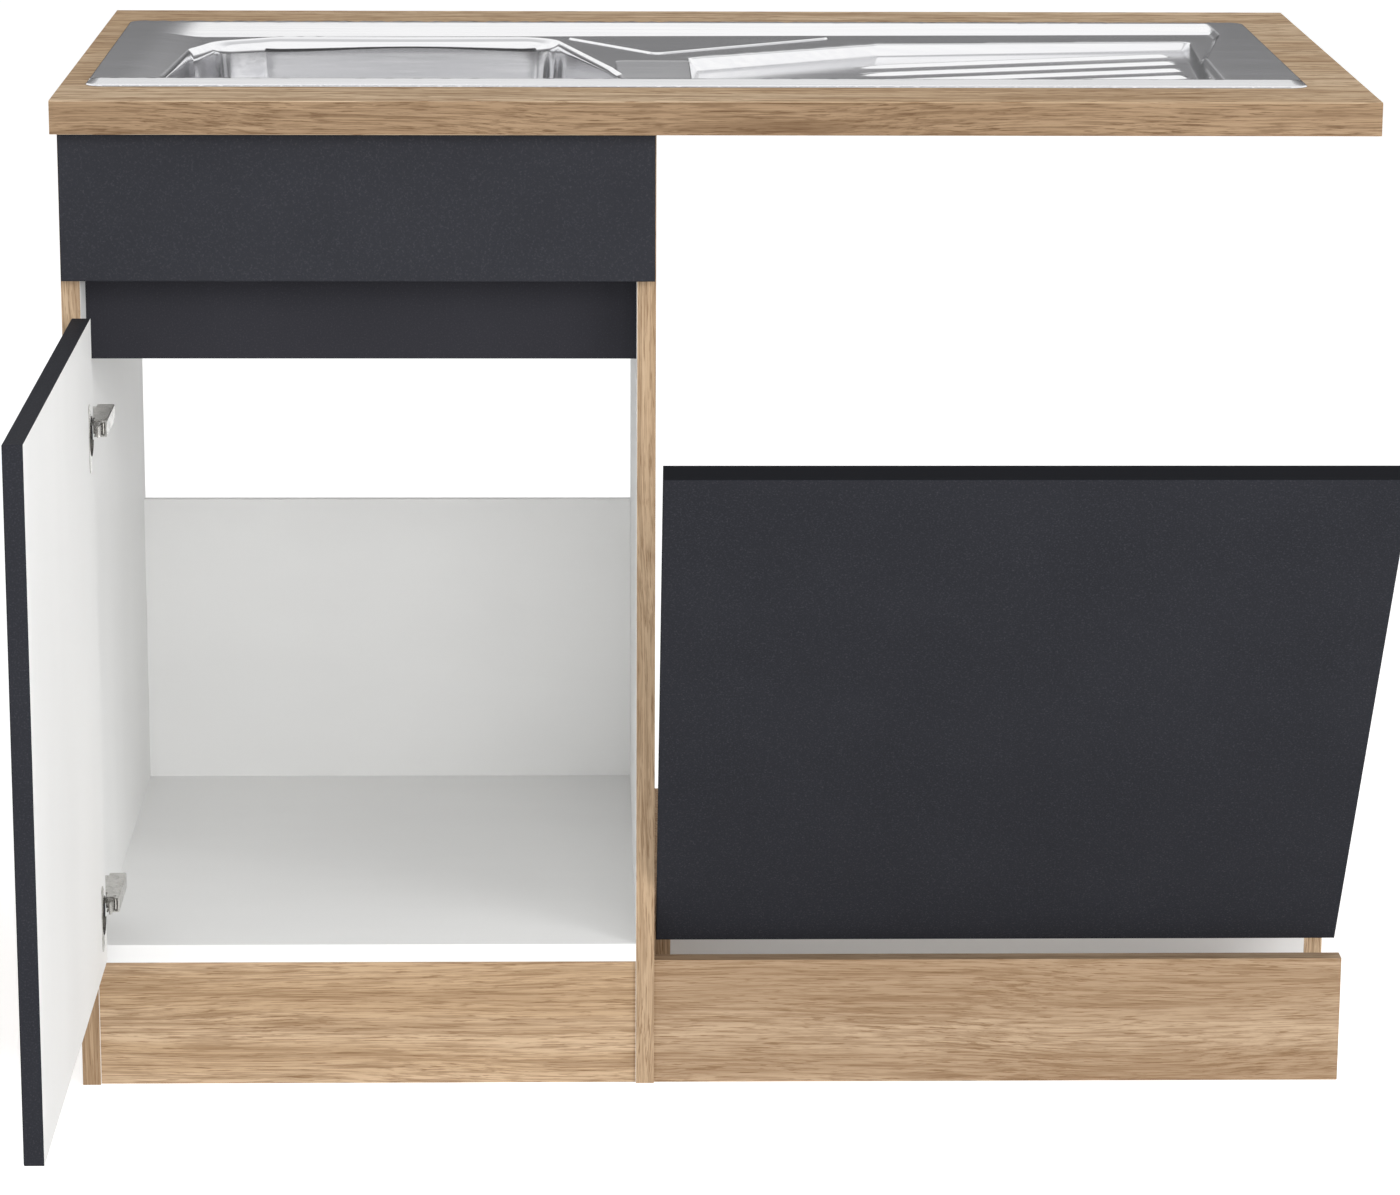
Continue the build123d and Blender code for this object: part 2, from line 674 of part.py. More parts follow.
def waste_nut():
    """The notched ring nut that draws the cup down."""
    high = SEAT_Z - SHEET_T - GASKET_T
    low = high - NUT_H
    inner = CUP_R + CUP_WALL + NUT_PLAY
    nut = turned([(inner, high), (NUT_R, high), (NUT_R, low), (inner, low)])
    for index in range(NUT_NOTCHES):
        turn = Location((*WASTE_AT, low - 1), (0, 0, index * 360 / NUT_NOTCHES))
        nut -= turn * Pos(NUT_R, 0, 0) * Cylinder(NUT_NOTCH_R, NUT_H + 2, align=STAND)
    return nut


def strainer_basket():
    """The perforated basket that lifts out of the waste by its knob."""
    wall, lip = BASKET_WALL, BASKET_LIP
    top = SEAT_Z + FLANGE_T + BASKET_GAP
    low = top - BASKET_DEPTH
    outer = CUP_R - 2 * BASKET_GAP
    inner = outer - wall
    outline = [(0, low), (outer - lip, low), (outer, low + lip), (outer, top)]
    outline += [(outer + lip, top), (outer + lip, top + wall), (inner, top + wall)]
    outline += [(inner, low + lip + wall / 2), (inner - lip + wall / 2, low + wall)]
    outline += [(radius, low + height) for radius, height in KNOB]
    basket = turned(outline)
    hole = extrude(RegularPolygon(BASKET_HOLE_R, SCREW_SIDES), 3 * wall)
    for count, ring in BASKET_HOLES:
        for index in range(count):
            turn = Location((*WASTE_AT, low - wall), (0, 0, index * 360 / count))
            basket -= turn * Pos(ring, 0, 0) * hole
    return basket


# ---- Bay and the appliance's front ---------------------------------------------


def tilted(shape):
    """A piece of the shut panel, tilted forward to where it stands in use."""
    return shape.rotate(Axis((0, *PANEL_PIVOT), (1, 0, 0)), PANEL_TILT)


def bay_plinth(tools):
    """The board that closes the foot of the bay."""
    return block((CARCASS_X[1], TOP_W), (PLINTH_Y, PLINTH_Y + BOARD_T), (0, PLINTH_H)) - tools


def bay_cheek(x, tools):
    """A low board on edge at one end of the bay."""
    return block(x, CHEEK_Y, (0, CHEEK_H)) - tools


def bay_board(tools):
    """The pale board between the cheeks."""
    return block(BAY_X, (CHEEK_Y[0], CHEEK_Y[0] + BOARD_T), (0, CHEEK_H)) - tools


def bay_screws():
    """Screws through the bay's outer cheek and the cabinet's side into the board."""
    y = CHEEK_Y[0] + BOARD_T / 2
    places = [(TOP_W, y, z) for z in BAY_SCREW_Z]
    return [screw(place, (-1, 0, 0), CARCASS_SCREW_R, CARCASS_SCREW_L) for place in places]


def plinth_links():
    """Two bent steel strips that tie the bay's plinth to the board behind it."""
    y = (PLINTH_Y + BOARD_T, CHEEK_Y[0])
    shapes = []
    for middle in PLINTH_LINK_X:
        x = (middle - PLINTH_LINK_W / 2, middle + PLINTH_LINK_W / 2)
        shape = block(x, y, (PLINTH_LINK_Z[0], PLINTH_LINK_Z[0] + STEEL_T))
        shape += block(x, (y[0], y[0] + STEEL_T), PLINTH_LINK_Z)
        shape += block(x, (y[1] - STEEL_T, y[1]), PLINTH_LINK_Z)
        shapes.append(shape)
    return shapes


def plinth_screws():
    """One screw at each end of both strips."""
    ends = [(PLINTH_Y + BOARD_T + STEEL_T, -1), (CHEEK_Y[0] - STEEL_T, 1)]
    shapes = []
    for y, sign in ends:
        for x in PLINTH_LINK_X:
            head_at = (x, y, LINK_SCREW_Z)
            shapes.append(screw(head_at, (0, sign, 0), WOOD_SCREW_R, WOOD_SCREW_L))
    return shapes


def pivot_bracket(x, sign, tools):
    """A flat steel bracket on a cheek, with the stud that the panel swings on."""
    sheet = sorted((x, x + sign * BRACKET_T))
    pivot_y, pivot_z = PANEL_PIVOT
    low, high = pivot_z - BRACKET_ARM_R, pivot_z + BRACKET_ARM_R
    shape = block(sheet, (pivot_y, BRACKET_POST_Y[1]), (low, high))
    shape += block(sheet, BRACKET_POST_Y, (BRACKET_FOOT_Z, high))
    shape += rod((x, pivot_y, pivot_z), (sign, 0, 0), BRACKET_ARM_R, BRACKET_T)
    stud = BRACKET_T + HANGER_GAP + STEEL_T + STUD_OUT
    shape += rod((x, pivot_y, pivot_z), (sign, 0, 0), STUD_R, stud)
    return shape - tools


def pivot_bracket_screws():
    """Two screws through each bracket's foot into its cheek."""
    y = sum(BRACKET_POST_Y) / 2
    shapes = []
    for x, sign in ((BAY_X[0], 1), (BAY_X[1], -1)):
        for z in BRACKET_SCREW_Z:
            head_at = (x + sign * BRACKET_T, y, z)
            shapes.append(screw(head_at, (-sign, 0, 0), WOOD_SCREW_R, BRACKET_SCREW_L))
    return shapes


def hanger(x, sign, tools):
    """A steel angle on the panel's back whose ear turns on the bracket's stud."""
    pivot_y, pivot_z = PANEL_PIVOT
    face = FRONT_Y + BOARD_T
    near = x + sign * (BRACKET_T + HANGER_GAP)
    ear = sorted((near, near + sign * STEEL_T))
    foot = sorted((near, near + sign * HANGER_W))
    height = (pivot_z - HANGER_EAR_H / 2, pivot_z + HANGER_EAR_H / 2)
    shape = block(ear, (face, pivot_y), height)
    shape += rod((near, pivot_y, pivot_z), (sign, 0, 0), HANGER_EAR_R, STEEL_T)
    shape += block(foot, (face, face + STEEL_T), HANGER_Z)
    shape -= rod((x, pivot_y, pivot_z), (sign, 0, 0), STUD_R + PIN_PLAY, HANGER_W)
    return tilted(shape - tools)


def hanger_screws():
    """Two screws through each hanger into the panel, as it stands when shut."""
    face = FRONT_Y + BOARD_T + STEEL_T
    across, up = HANGER_SCREW_AT
    shapes = []
    for x, sign in ((BAY_X[0], 1), (BAY_X[1], -1)):
        middle = x + sign * (BRACKET_T + HANGER_GAP + across)
        for z in (HANGER_Z[0] + up, HANGER_Z[1] - up):
            shapes.append(screw((middle, face, z), (0, -1, 0), WOOD_SCREW_R, WOOD_SCREW_L))
    return shapes


def appliance_front(tools):
    """The panel that dresses the appliance's door."""
    board = front_board((PANEL_X, PANEL_X + PANEL_W), (DOOR_Z, DOOR_Z + DOOR_H))
    return tilted(board - tools)


def save_carcass():
    """Boards, angles and their screws."""
    long_screws = carcass_screws()
    top_screws = worktop_screws()
    plate_tools = plate_screws()
    front_tools = fixed_screws()
    tools = long_screws + top_screws + plate_tools + front_tools
    save("left_side_panel", left_side_panel(tools))
    save("right_side_panel", right_side_panel(tools))
    save("bottom_panel", bottom_panel(long_screws))
    save("back_panel", back_panel())
    save("front_rail", front_rail(long_screws))
    save("rear_rail", rear_rail(long_screws))
    save("cabinet_plinth", cabinet_plinth(long_screws))
    save("carcass_screws", group(long_screws))
    save("worktop", worktop(top_screws))
    save("worktop_angles", group(worktop_angles(top_screws)))
    save("worktop_screws", group(top_screws))
    save("fixed_front", front_board(FIXED_X, FIXED_Z) - front_tools)
    save("fixed_front_angles", group(shape - front_tools for shape in fixed_brackets()))
    save("fixed_front_screws", group(front_tools))
    for name, z in zip(("upper", "lower"), HINGE_Z):
        save(f"{name}_hinge_plate", hinge_plate(z, plate_tools))
    save("hinge_plate_screws", group(plate_tools))


def save_door():
    """The door and both hinges."""
    tools = cup_screws()
    save("door", door(tools))
    save("hinge_cup_screws", group(swung(one) for one in tools))
    for name, z in zip(("upper", "lower"), HINGE_Z):
        save(f"{name}_hinge_cup", hinge_cup(z, tools))
        save(f"{name}_hinge_arm", hinge_arm(z))
        save(f"{name}_hinge_link", hinge_link(z))
    save("hinge_pins", group(hinge_pins()))


def save_sink():
    """The sink and what holds and drains it."""
    save("sink_top", sink_top())
    save("sink_seal", sink_seal())
    save("sink_clamps", group(sink_clamps()))
    save("clamp_screws", group(clamp_screws()))
    save("waste_cup", waste_cup())
    save("waste_gasket", waste_gasket())
    save("waste_nut", waste_nut())
    save("strainer_basket", strainer_basket())


def save_bay():
    """The bay's low frame and the appliance's front."""
    links = plinth_screws()
    feet = pivot_bracket_screws()
    through = bay_screws()
    hung = hanger_screws()
    save("bay_plinth", bay_plinth(links))
    save("left_bay_cheek", bay_cheek((CARCASS_X[1], BAY_X[0]), feet))
    save("right_bay_cheek", bay_cheek((BAY_X[1], TOP_W), feet + through))
    save("bay_board", bay_board(links + through))
    save("bay_screws", group(through))
    save("plinth_links", group(shape - links for shape in plinth_links()))
    save("plinth_screws", group(links))
    save("left_pivot_bracket", pivot_bracket(BAY_X[0], 1, feet))
    save("right_pivot_bracket", pivot_bracket(BAY_X[1], -1, feet))
    save("pivot_bracket_screws", group(feet))
    save("left_front_hanger", hanger(BAY_X[0], 1, hung))
    save("right_front_hanger", hanger(BAY_X[1], -1, hung))
    save("hanger_screws", group(tilted(one) for one in hung))
    save("appliance_front", appliance_front(hung))


os.makedirs("parts", exist_ok=True)
save_carcass()
save_door()
save_sink()
save_bay()
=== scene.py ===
import math

import bpy
import numpy as np
from mathutils import Matrix, Vector
from mathutils.geometry import delaunay_2d_cdt


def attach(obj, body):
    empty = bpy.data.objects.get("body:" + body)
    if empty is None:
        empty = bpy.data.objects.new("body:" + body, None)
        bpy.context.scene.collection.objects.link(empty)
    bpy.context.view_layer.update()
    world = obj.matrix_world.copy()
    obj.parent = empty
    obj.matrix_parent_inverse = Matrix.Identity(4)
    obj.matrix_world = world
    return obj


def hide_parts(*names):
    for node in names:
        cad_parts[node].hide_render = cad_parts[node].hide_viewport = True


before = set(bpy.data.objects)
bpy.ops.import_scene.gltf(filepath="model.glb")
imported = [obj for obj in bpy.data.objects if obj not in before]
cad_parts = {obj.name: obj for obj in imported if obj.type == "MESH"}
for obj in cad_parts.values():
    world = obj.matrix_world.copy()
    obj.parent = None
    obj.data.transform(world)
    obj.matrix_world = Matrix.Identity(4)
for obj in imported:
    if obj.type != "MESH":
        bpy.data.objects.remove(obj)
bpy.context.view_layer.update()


# ---- Side panels ---------------------------------------------------------------
# Two sides of 16 mm chipboard stand on the floor. Oak-pattern foil covers the outer
# face and the edges with its grain upright, and white foil covers the inner face.

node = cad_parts

# In millimetres: the frame's origin, from below the worktop's left front corner, and
# the inner faces of both sides. In metres: how deep from its face a foil reaches, and
# how deep its grain is pressed.
ORIGIN_X, ORIGIN_Y = 550, 61
LEFT_INNER, RIGHT_INNER = 18, 484
FOIL = 0.0002
PRESSED = 0.0002


def here(x, y, z):
    """Carries a place, in millimetres from that corner on the floor, into the frame."""
    return Vector(((x - ORIGIN_X) / 1000, (y - ORIGIN_Y) / 1000, z / 1000))


def srgb(r, g, b):
    """A finish's colour, read as it looks on a screen."""
    def straight(v):
        v = v / 255
        return v / 12.92 if v <= 0.04045 else ((v + 0.055) / 1.055) ** 2.4
    return (straight(r), straight(g), straight(b), 1)


def grey(level):
    """A neutral tone."""
    return (level, level, level, 1)


def wire(tree, kind, settings=None, **sockets):
    """Adds a shader node, sets its fields, and joins or fills its sockets.

    A socket goes by its name, or by its number as i0, i1 and so on.
    """
    made = tree.nodes.new(kind)
    for key, value in (settings or {}).items():
        setattr(made, key, value)
    for key, value in sockets.items():
        numbered = key[0] == "i" and key[1:].isdigit()
        socket = made.inputs[int(key[1:]) if numbered else key.replace("_", " ")]
        if isinstance(value, bpy.types.NodeSocket):
            tree.links.new(value, socket)
        else:
            socket.default_value = value
    return made


def finish(name):
    """A new material, its tree and its Principled surface."""
    made = bpy.data.materials.new(name)
    made.use_nodes = True
    tree = made.node_tree
    return made, tree, tree.nodes["Principled BSDF"]


def lay(tree, surface, colour, rough, specular, relief, depth):
    """Lays colour and gloss on a surface and presses a fine relief into it."""
    tree.links.new(colour, surface.inputs["Base Color"])
    surface.inputs["Roughness"].default_value = rough
    surface.inputs["Specular IOR Level"].default_value = specular
    bump = wire(tree, "ShaderNodeBump", Height=relief, Strength=depth, Distance=PRESSED)
    tree.links.new(bump.outputs[0], surface.inputs["Normal"])


def own_place(tree):
    """Places on the object itself, so that a pattern moves with it."""
    return wire(tree, "ShaderNodeTexCoord").outputs["Object"]


def vectors(tree, how, **sockets):
    """One sum on places or directions."""
    return wire(tree, "ShaderNodeVectorMath", {"operation": how}, **sockets).outputs


def maths(tree, how, a, b):
    """One sum on two numbers."""
    return wire(tree, "ShaderNodeMath", {"operation": how}, i0=a, i1=b).outputs[0]


def mixed(tree, factor, a, b, how="MIX"):
    """Two colours mixed by a factor."""
    settings = {"data_type": "RGBA", "blend_type": how}
    return wire(tree, "ShaderNodeMix", settings, i0=factor, i6=a, i7=b).outputs[2]


def ramp(tree, factor, stops, smooth=True):
    """A colour ramp over a factor, from (place, colour) stops."""
    made = wire(tree, "ShaderNodeValToRGB", i0=factor)
    bar = made.color_ramp
    bar.interpolation = "EASE" if smooth else "LINEAR"
    while len(bar.elements) < len(stops):
        bar.elements.new(0.5)
    for element, (place, colour) in zip(bar.elements, stops):
        element.position = place
        element.color = colour
    return made.outputs[0]


def mask(tree, factor, low, high):
    """Black under one level of a factor and white over another."""
    return ramp(tree, factor, [(low, grey(0)), (high, grey(1))])


def noise(tree, at, scale, detail, rough=0.5, warp=0):
    """Cloudy noise over places."""
    return wire(tree, "ShaderNodeTexNoise", Vector=at, Scale=scale, Detail=detail,
                Roughness=rough, Distortion=warp).outputs[0]


def stretched(tree, at, scale, detail, rough=0.5, warp=0):
    """Noise drawn out along the grain; scale gives cycles per metre on each axis."""
    return noise(tree, vectors(tree, "MULTIPLY", i0=at, i1=scale)[0], 1, detail, rough, warp)


def along_grain(tree, axis, offset=(0, 0, 0)):
    """Places whose X runs along the grain of a board."""
    at = vectors(tree, "ADD", i0=own_place(tree), i1=offset)[0]
    turn = {"x": (0, 0, 0), "z": (0, math.pi / 2, 0)}[axis]
    return wire(tree, "ShaderNodeVectorRotate", {"rotation_type": "EULER_XYZ"},
                Vector=at, Rotation=turn).outputs[0]


def oak_colour(tree, axis, light, mid, dark, offset, across=1.0):
    """Oak foil: broad bands, grown rings, fine fibres and short dark pores.

    Gives the colour and the height of fibres and pores; across is how fine it is.
    """
    at = along_grain(tree, axis, offset)
    sway = stretched(tree, at, (1.6, 9, 9), 2)
    bent = vectors(tree, "MULTIPLY_ADD", i0=(0, 0.05, 0.05), i1=sway, i2=at)[0]
    bands = stretched(tree, bent, (0.9, 24 * across, 24 * across), 3, 0.55)
    rings = stretched(tree, bent, (2.4, 210 * across, 210 * across), 4, 0.6, 0.5)
    fibre = stretched(tree, bent, (16, 640 * across, 640 * across), 4, 0.65)
    pores = stretched(tree, bent, (36, 800 * across, 800 * across), 3, 0.6)
    colour = ramp(tree, bands, [(0.38, mid), (0.6, light)])
    ringed = mask(tree, rings, 0.46, 0.64)
    fibred = mask(tree, fibre, 0.44, 0.62)
    streak = mask(tree, pores, 0.55, 0.66)
    for shown, share in ((ringed, 0.45), (fibred, 0.5), (streak, 0.7)):
        colour = mixed(tree, maths(tree, "MULTIPLY", shown, share), colour, dark)
    return colour, maths(tree, "SUBTRACT", maths(tree, "MULTIPLY", fibre, 0.4), streak)


def white_colour(tree, axis):
    """White foil, very slightly cloudy, and the height of its fine pressed grain."""
    at = along_grain(tree, axis)
    cloud = stretched(tree, at, (2, 6, 6), 3)
    grain = stretched(tree, at, (14, 330, 330), 4, 0.6)
    base = ramp(tree, cloud, [(0.3, srgb(240, 240, 239)), (0.7, srgb(244, 244, 243))])
    return mixed(tree, maths(tree, "MULTIPLY", grain, 0.05), base, srgb(215, 215, 213)), grain


def inside_of(tree, normal, place):
    """1 on the face of a board that looks along normal at a place, 0 on its others."""
    depth = vectors(tree, "DOT_PRODUCT", i0=own_place(tree), i1=normal)["Value"]
    return maths(tree, "GREATER_THAN", depth, Vector(normal).dot(place) - FOIL)


def oak_white(name, normal, place, offset):
    """Oak foil outside and white foil on one face."""
    made, tree, surface = finish(name)
    colour, pressed = oak_colour(tree, "z", light=srgb(196, 171, 142), mid=srgb(180, 153, 123),
                                 dark=srgb(128, 100, 72), offset=offset)
    white, grain = white_colour(tree, "z")
    inner = inside_of(tree, normal, place)
    lay(tree, surface, mixed(tree, inner, colour, white), rough=0.55, specular=0.15,
        relief=mixed(tree, inner, pressed, grain), depth=0.2)
    return made


def dressed(name, material):
    """Gives a CAD node its material."""
    node[name].data.materials.clear()
    node[name].data.materials.append(material)


dressed("left_side_panel", oak_white(
    "left_side_foil", normal=(1, 0, 0), place=here(LEFT_INNER, 0, 0), offset=(0.3, 0, 0.1)))
dressed("right_side_panel", oak_white(
    "right_side_foil", normal=(-1, 0, 0), place=here(RIGHT_INNER, 0, 0), offset=(0.1, 0, 0.6)))


# ---- Bottom, back and rear rail ------------------------------------------------
# White melamine boards: the bottom screwed between the sides, the thin back held in
# their grooves, and the rail at the wall that takes the two wall screws.


def white_board(name):
    """A board in white foil."""
    made, tree, surface = finish(name)
    colour, grain = white_colour(tree, "x")
    lay(tree, surface, colour, rough=0.5, specular=0.25, relief=grain, depth=0.2)
    return made


white_foil = white_board("white_foil")
for name in ("bottom_panel", "back_panel", "rear_rail"):
    dressed(name, white_foil)


# ---- Front rail ----------------------------------------------------------------
# An upright board screwed between the sides, in the same anthracite as the fronts.
# It is set back behind them and leaves the space for the fingers that opens the door.


def anthracite_colour(tree, base, fleck):
    """Matt anthracite foil with a very fine speckle, and its height."""
    at = own_place(tree)
    speck = noise(tree, at, 720, 2, 0.6)
    cloud = noise(tree, at, 9, 3)
    colour = mixed(tree, maths(tree, "MULTIPLY", mask(tree, speck, 0.5, 0.78), 0.75), base, fleck)
    shade = ramp(tree, cloud, [(0.3, grey(0.93)), (0.7, grey(1))])
    return mixed(tree, 1.0, colour, shade, "MULTIPLY"), speck


made, tree, surface = finish("rail_anthracite")
colour, speck = anthracite_colour(tree, base=srgb(50, 50, 55), fleck=srgb(64, 65, 71))
lay(tree, surface, colour, rough=0.65, specular=0.03, relief=speck, depth=0.25)
dressed("front_rail", made)


# ---- Plinths -------------------------------------------------------------------
# Oak-pattern boards with level grain close the foot of the cabinet and of the bay. The
# cabinet's is screwed between the sides, and steel strips hold the bay's from behind.


def oak(name, axis, offset, light=srgb(208, 182, 152), mid=srgb(190, 162, 130)):
    """A board in oak foil all round."""
    made, tree, surface = finish(name)
    colour, pressed = oak_colour(tree, axis, light, mid, srgb(128, 98, 68), offset)
    lay(tree, surface, colour, rough=0.6, specular=0.15, relief=pressed, depth=0.25)
    return made


dressed("cabinet_plinth", oak("cabinet_plinth_oak", "x", (0.4, 0.2, 0.7)))
# The bay's plinth takes a darker copy of the same oak: painted shade under the tilted front.
dressed("bay_plinth", oak("bay_plinth_shaded_oak", "x", (1.7, 0.5, 0.2),
                          light=srgb(192, 167, 139), mid=srgb(174, 148, 120)))


# ---- Bay boards ----------------------------------------------------------------
# A low frame under the appliance's place: two cheeks on edge in oak foil and a pale
# board screwed between them.

cheek = oak("cheek_oak", "z", (2.1, 0.1, 0.4))
for name in ("left_bay_cheek", "right_bay_cheek"):
    dressed(name, cheek)
dressed("bay_board", white_board("bay_white"))


# ---- Worktop -------------------------------------------------------------------
# A 28 mm board in oak laminate, grain from left to right, cut out for the sink; its
# front edge is a separate, darker edge band.

made, tree, surface = finish("worktop_oak")
top_colour, pressed = oak_colour(tree, "x", light=srgb(212, 188, 159), mid=srgb(199, 172, 141),
                                 dark=srgb(134, 102, 72), offset=(0.2, 0.3, 0.1), across=0.3)
edge_colour, _ = oak_colour(tree, "x", light=srgb(164, 139, 112), mid=srgb(147, 122, 96),
                            dark=srgb(98, 74, 53), offset=(0.9, 0.1, 0.6))
front_edge = inside_of(tree, (0, -1, 0), here(0, 0, 0))
lay(tree, surface, mixed(tree, front_edge, top_colour, edge_colour), rough=0.7,
    specular=0.01, relief=pressed, depth=0.25)
dressed("worktop", made)


# ---- Screws and angles ---------------------------------------------------------
# Zinc-plated steel: the screws, the angles under the worktop and behind the fixed
# front, the plinth's ties, the sink's clamps, and what carries the tilting panel. The
# hinges and their screws are nickel-plated, and come later.


def steel(name, light, dark, rough, streaks, depth):
    """Bare or plated metal with a faint drawn pattern; streaks are cycles per metre."""
    made, tree, surface = finish(name)
    fine = stretched(tree, own_place(tree), streaks, 4, 0.6)
    tree.links.new(ramp(tree, fine, [(0.3, dark), (0.7, light)]), surface.inputs["Base Color"])
    surface.inputs["Metallic"].default_value = 1
    worn = ramp(tree, fine, [(0.2, grey(rough * 1.25)), (0.8, grey(rough * 0.8))])
    tree.links.new(worn, surface.inputs["Roughness"])
    bump = wire(tree, "ShaderNodeBump", Height=fine, Strength=depth, Distance=0.0003)
    tree.links.new(bump.outputs[0], surface.inputs["Normal"])
    return made


zinc = steel("zinc_plating", light=srgb(200, 203, 206), dark=srgb(170, 173, 178),
             rough=0.32, streaks=(90, 90, 90), depth=0.15)
for name in ("carcass_screws", "worktop_angles", "worktop_screws", "fixed_front_angles",
             "fixed_front_screws", "plinth_links", "plinth_screws", "bay_screws",
             "pivot_bracket_screws", "hanger_screws", "left_pivot_bracket",
             "right_pivot_bracket", "left_front_hanger", "right_front_hanger",
             "sink_clamps", "clamp_screws"):
    dressed(name, zinc)


# ---- Sink ----------------------------------------------------------------------
# One sheet of bright stainless steel, pressed into rim, bowl, spillway and ribbed
# drainer, clamped into the worktop's cut-out on a foam seal.

bright = steel("bright_stainless", light=srgb(249, 249, 250), dark=srgb(244, 244, 246),
               rough=0.12, streaks=(5, 200, 200), depth=0.02)

# All its sizes are in millimetres. The sheet, its flat deck and rolled rim, and the low
# crest along the front.
SHEET = 0.8
DECK = 869.6
RIM_LEFT, RIM_RIGHT, RIM_FRONT, RIM_BACK = 21, 1051, 83, 513
RIM_R = 14
EDGE_DROP, EDGE_ROLL = 1, 1.6
CREST_FOOT, CREST_TOP, CREST_FALL = 84, 117, 7
CREST_HEIGHT = 1.4
CREST_END_GAP, CREST_END_RISE = 2, 6
rim = [(RIM_LEFT, RIM_FRONT), (RIM_RIGHT, RIM_FRONT), (RIM_RIGHT, RIM_BACK), (RIM_LEFT, RIM_BACK)]

# Shallow recess that holds all the rest, with a long slope at the left and a ledge
# that rises to the back of the rim from a slightly skewed fold.
RECESS = 865.0
RECESS_R, RECESS_SLOPE = 8, 7
RUN_OUT_FROM, RUN_OUT_LENGTH, RUN_OUT_BEND = 48, 50, 0.4
FOLD_FROM, FOLD_RISE, FOLD_RUN = (64, 425), 31, 950
LEDGE_BACK, LEDGE_STEP, LEDGE_BEND = 503, 0.1, 0.05
recess = [(37, 119), (986, 119), (988, 262), (1020, 425), (1020, 509), (37, 509)]

# Three-cornered bank behind the spillway: a sharp step up, then a soft one.
BANK_TOP, BANK_R = 866.1, 10
BANK_STEPS = (0.4, 2)
BANK_SHARES = (0.7, 0.3)
tap_bank = [(416, 433), (503, 316), (686, 440)]

# Spillway between bowl and drainer, which falls towards the front.
SPILL_R, SPILL_SLOPE = 8, 3
SPILL_LEVEL, SPILL_FALL, SPILL_BACK = 864.95, 0.018, 275
spillway = [(466, 119), (545, 119), (545, SPILL_BACK), (466, SPILL_BACK)]

# Drainer, whose floor rises to the right, and the ribs on it.
DRAIN_R, DRAIN_WALL, DRAIN_BEND = 10, 9, 0.2
DRAIN_LOW, DRAIN_RISE, DRAIN_LEFT = 853.4, 0.0095, 520
RIB_LEAN = math.radians(12.5)
RIB_LENGTH, RIB_HALF, RIB_HEIGHT = 283, 13, 1.7
RIB_LEAD, RIB_SWELL, RIB_END = 14, 34, 8
drainer = [(531, 124), (977, 124), (991, 409), (702, 386), (531, 292)]
rib_starts = [(690, 308), (690, 260), (690, 214), (690, 170), (690, 134)]
rib_along = np.array((math.cos(RIB_LEAN), math.sin(RIB_LEAN)))
rib_across = np.array((-rib_along[1], rib_along[0]))

# Bowl: corner radii at its mouth, under the roll, at the foot of the wall and round
# the floor; the width of the roll on each side; how far wall and floor come in.
BOWL_R, TOP_R, FOOT_R, FLOOR_R = 40, 34, 32, 22
DRAFT, FLOOR_INSET = 10, 36
FOOT_DEPTH, FLOOR_BEND, FLOOR_DEPTH = 124, 25, 149
FLATTER_AT, FLATTER_WIDTH, FLATTER_BEHIND, FLATTER_BY = 283, 85, 330, 4.5
ARC_STEPS, SIDE_STEPS, ROLL_STEPS = 10, 14, 8
bowl = [(74, 119), (478, 119), (473, 200), (411, 434), (158, 430), (106, 402), (87, 345)]
roll_widths = [6, 5, 5, 13, 11, 8, 5]

# Waste hole: its middle, where the floor's flat begins, and the seat's rings.
FLAT_R = 60
waste = np.array((262, 262))
waste_seat = [(58.6, 719.5), (57.8, 719), (57.2, 717.6), (56.6, 717.1), (55.8, 717), (45, 717)]


def inset(corners, by):
    """The corners of a closed outline, each side moved in by its own amount."""
    corners = [Vector(one) for one in corners]
    by = by if hasattr(by, "__len__") else [by] * len(corners)
    lines = []
    for start, end, amount in zip(corners, corners[1:] + corners[:1], by):
        along = (end - start).normalized()
        lines.append((start + amount * Vector((-along.y, along.x)), along))
    moved = []
    for (p, u), (q, v) in zip(lines[-1:] + lines[:-1], lines):
        moved.append(p + u * ((q - p).cross(v) / u.cross(v)))
    return moved


def softened(corners, radius, arc, run):
    """Points round an outline with rounded corners, as many on every outline."""
    corners = [Vector(one) for one in corners]
    bends = []
    for before, corner, after in zip(corners[-1:] + corners[:-1], corners,
                                     corners[1:] + corners[:1]):
        u, v = (before - corner).normalized(), (after - corner).normalized()
        half = u.angle(v) / 2
        centre = corner + (u + v).normalized() * (radius / math.sin(half))
        arm = corner + u * (radius / math.tan(half)) - centre
        side = 1 if u.cross(v) < 0 else -1
        turns = [side * (math.pi - 2 * half) * step / arc for step in range(arc + 1)]
        bends.append([centre + Matrix.Rotation(turn, 2) @ arm for turn in turns])
    points = []
    for bend, following in zip(bends, bends[1:] + bends[:1]):
        points += bend
        points += [bend[-1].lerp(following[0], step / run) for step in range(1, run)]
    return np.array(points)


def away(at, corners, radius):
    """Distance from a rounded outline, negative inside it."""
    core = np.array(inset(corners, radius))
    least = np.full(len(at), np.inf)
    inside = np.zeros(len(at), bool)
    for start, end in zip(core, np.roll(core, -1, axis=0)):
        along, off = end - start, at - start
        share = np.clip((off @ along) / (along @ along), 0, 1)
        least = np.minimum(least, np.hypot(*(off - share[:, None] * along).T))
        spans = (start[1] > at[:, 1]) != (end[1] > at[:, 1])
        level = along[1] if along[1] else 1e-9
        inside ^= spans & (off[:, 0] < off[:, 1] * along[0] / level)
    return np.where(inside, -least, least) - radius


